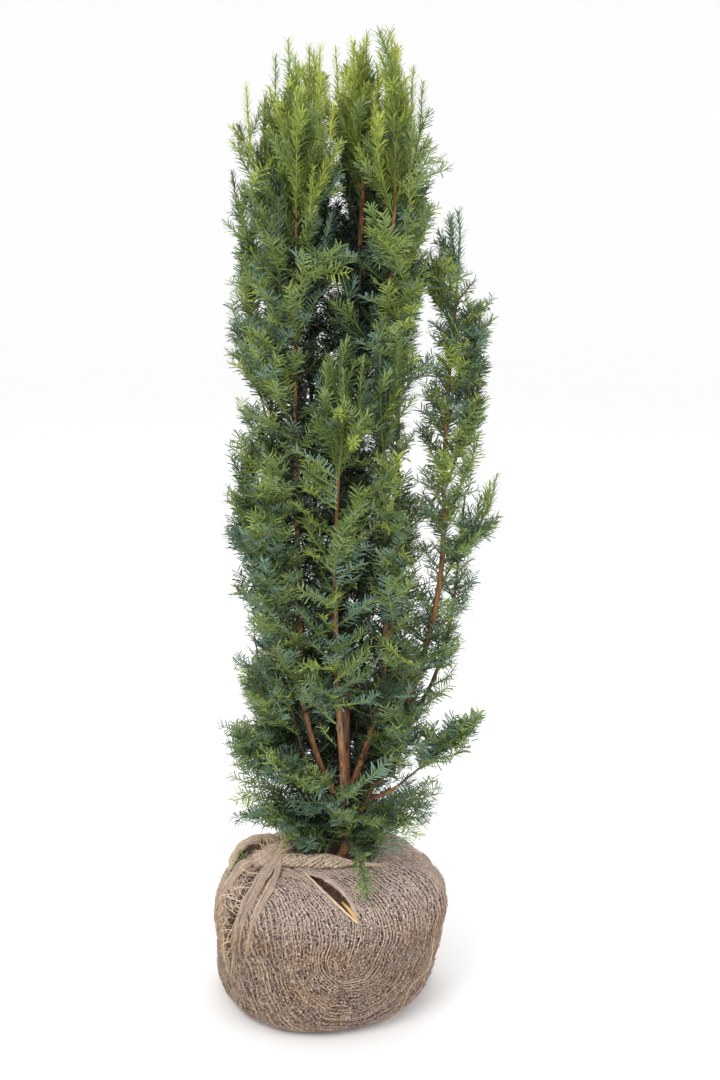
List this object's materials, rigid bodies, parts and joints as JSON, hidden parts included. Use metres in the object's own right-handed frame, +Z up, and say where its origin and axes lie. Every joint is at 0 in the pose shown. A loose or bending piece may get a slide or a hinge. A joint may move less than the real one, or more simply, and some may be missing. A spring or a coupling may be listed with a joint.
{
  "type": "sapling with root ball",
  "caption": "Columnar yew sapling: upright, densely needled stems from a short trunk that stands in a soil root ball wrapped and tied in jute cloth.",
  "frame": {"origin": "on the flat underside of the root ball, below the middle of its widest section", "axes": "+Z up along the stems, -Y towards the side with the tied knot's twisted band, +X to the right of that side"},
  "size_m": [0.4069, 0.3339, 1.3404],
  "materials": {
    "bark": "matt reddish brown bark",
    "foliage": "satin dark green needles",
    "foliage_new": "satin yellow-green new needles",
    "jute_over_soil": "coarse matt jute weave over damp soil",
    "jute_cloth": "coarse matt jute weave",
    "jute_straw": "matt pale twisted jute"
  },
  "bodies": {
    "root": {"bough_low_back": "bark", "bough_low_front": "bark", "bough_low_left": "bark", "bough_low_right": "bark", "foliage_back_1": "foliage", "foliage_back_2": "foliage", "foliage_back_3": "foliage", "foliage_back_left_1": "foliage", "foliage_back_left_2": "foliage", "foliage_back_left_3": "foliage", "foliage_back_left_tip": "foliage_new", "foliage_back_right_1": "foliage", "foliage_back_right_2": "foliage", "foliage_back_right_3": "foliage", "foliage_back_right_tip": "foliage_new", "foliage_back_tip": "foliage_new", "foliage_bough_low_back_tip": "foliage", "foliage_bough_low_front_tip": "foliage", "foliage_bough_low_left_tip": "foliage", "foliage_bough_low_right_tip": "foliage", "foliage_front_1": "foliage", "foliage_front_2": "foliage", "foliage_front_left_1": "foliage", "foliage_front_left_2": "foliage", "foliage_front_left_3": "foliage", "foliage_front_left_tip": "foliage_new", "foliage_front_right_1": "foliage", "foliage_front_right_2": "foliage", "foliage_front_right_3": "foliage", "foliage_front_right_tip": "foliage_new", "foliage_front_tip": "foliage_new", "foliage_hanging": "foliage", "foliage_left_1": "foliage", "foliage_left_2": "foliage", "foliage_left_3": "foliage", "foliage_left_tip": "foliage_new", "foliage_right_1": "foliage", "foliage_right_2": "foliage", "foliage_right_tip": "foliage_new", "foliage_trunk_1": "foliage", "foliage_trunk_tip": "foliage_new", "root_ball": "jute_over_soil", "stem_back": "bark", "stem_back_left": "bark", "stem_back_right": "bark", "stem_front": "bark", "stem_front_left": "bark", "stem_front_right": "bark", "stem_left": "bark", "stem_right": "bark", "trunk": "bark", "wrap_band": "jute_straw", "wrap_ear": "jute_cloth", "wrap_gathers": "jute_cloth", "wrap_knot": "jute_straw"}
  },
  "joints": []
}
